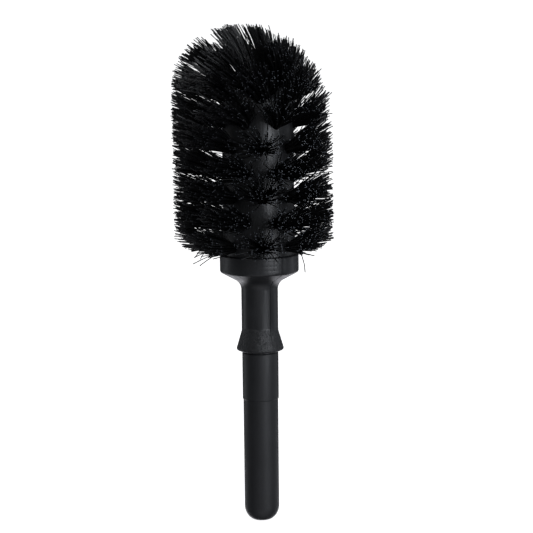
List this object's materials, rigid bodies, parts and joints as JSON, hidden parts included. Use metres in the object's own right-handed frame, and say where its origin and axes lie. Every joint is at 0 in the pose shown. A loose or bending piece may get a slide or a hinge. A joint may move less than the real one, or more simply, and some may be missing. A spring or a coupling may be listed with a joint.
{
  "type": "wheel brush",
  "caption": "Hand-held wheel cleaning brush: a round-nosed cylindrical head of radiating bristle tufts on a collared neck, screwed into a slim straight handle.",
  "frame": {"origin": "on the brush's axis at the middle of the handle, where a hand grips it", "axes": "+Z along the axis from the handle's butt end to the round nose of the bristles, -Y towards the viewer of the picture, +X to the viewer's right"},
  "size_m": [0.0761, 0.0753, 0.2367],
  "materials": {
    "handle_plastic": "satin black injection-moulded polypropylene",
    "block_plastic": "satin black injection-moulded polypropylene with a mould parting line",
    "seal_rubber": "matt black rubber",
    "bristle_filament": "black polypropylene filament with a faint sheen"
  },
  "bodies": {
    "handle": {"handle": "handle_plastic"},
    "seal": {"seal_ring": "seal_rubber"},
    "head": {"bristle_block": "block_plastic", "tuft_row1_1": "bristle_filament", "tuft_row1_2": "bristle_filament", "tuft_row1_3": "bristle_filament", "tuft_row1_4": "bristle_filament", "tuft_row1_5": "bristle_filament", "tuft_row1_6": "bristle_filament", "tuft_row1_7": "bristle_filament", "tuft_row2_1": "bristle_filament", "tuft_row2_2": "bristle_filament", "tuft_row2_3": "bristle_filament", "tuft_row2_4": "bristle_filament", "tuft_row2_5": "bristle_filament", "tuft_row2_6": "bristle_filament", "tuft_row2_7": "bristle_filament", "tuft_row3_1": "bristle_filament", "tuft_row3_2": "bristle_filament", "tuft_row3_3": "bristle_filament", "tuft_row3_4": "bristle_filament", "tuft_row3_5": "bristle_filament", "tuft_row3_6": "bristle_filament", "tuft_row3_7": "bristle_filament", "tuft_row4_1": "bristle_filament", "tuft_row4_2": "bristle_filament", "tuft_row4_3": "bristle_filament", "tuft_row4_4": "bristle_filament", "tuft_row4_5": "bristle_filament", "tuft_row4_6": "bristle_filament", "tuft_row4_7": "bristle_filament", "tuft_row5_1": "bristle_filament", "tuft_row5_2": "bristle_filament", "tuft_row5_3": "bristle_filament", "tuft_row5_4": "bristle_filament", "tuft_row5_5": "bristle_filament", "tuft_row5_6": "bristle_filament", "tuft_row5_7": "bristle_filament", "tuft_row6_1": "bristle_filament", "tuft_row6_2": "bristle_filament", "tuft_row6_3": "bristle_filament", "tuft_row6_4": "bristle_filament", "tuft_row6_5": "bristle_filament", "tuft_row6_6": "bristle_filament", "tuft_row6_7": "bristle_filament", "tuft_row7_1": "bristle_filament", "tuft_row7_2": "bristle_filament", "tuft_row7_3": "bristle_filament", "tuft_row7_4": "bristle_filament", "tuft_row7_5": "bristle_filament", "tuft_row7_6": "bristle_filament", "tuft_row7_7": "bristle_filament", "tuft_nose1_1": "bristle_filament", "tuft_nose1_2": "bristle_filament", "tuft_nose1_3": "bristle_filament", "tuft_nose1_4": "bristle_filament", "tuft_nose1_5": "bristle_filament", "tuft_nose2_1": "bristle_filament", "tuft_nose2_2": "bristle_filament", "tuft_nose2_3": "bristle_filament"}
  },
  "joints": [
    {"name": "head_lift", "type": "slide", "parent": "handle", "child": "seal", "axis": [0, 0, 1], "range_m": [0, 0.01001]},
    {"name": "head_turn", "type": "hinge", "parent": "seal", "child": "head", "pos_m": [0, 0, 0.0419], "axis": [0, 0, 1], "range_deg": [0, 900]}
  ],
  "couplings": [
    {"joint": "head_lift", "follows": "head_turn", "m_per_rad": 0.00063662}
  ]
}
